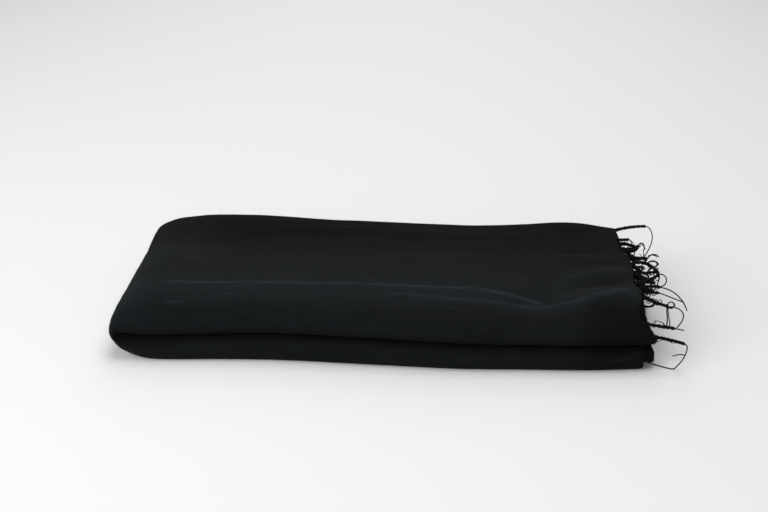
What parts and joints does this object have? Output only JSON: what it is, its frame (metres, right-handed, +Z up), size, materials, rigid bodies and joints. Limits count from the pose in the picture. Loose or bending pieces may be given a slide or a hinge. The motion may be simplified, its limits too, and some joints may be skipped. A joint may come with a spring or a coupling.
{
  "type": "folded wool shawl",
  "caption": "Plain black wool shawl with twisted fringes, folded to a soft flat rectangle that lies on a surface.",
  "frame": {"origin": "middle of the flat underside of the folded cloth, on the surface that it lies on", "axes": "+X along the bundle to its fringed end, +Y from the rolled front to the open back edges, +Z up"},
  "size_m": [0.5454, 0.2565, 0.0627],
  "materials": {
    "cloth": "matte brushed wool",
    "yarn": "matte twisted wool yarn"
  },
  "bodies": {
    "root": {"outer_cloth": "cloth", "hidden_layers": "cloth", "end_fold_outer": "cloth", "end_fold_inner": "cloth", "fringe_outer": "yarn", "fringe_second": "yarn", "fringe_third": "yarn", "fringe_inner": "yarn"}
  },
  "joints": []
}
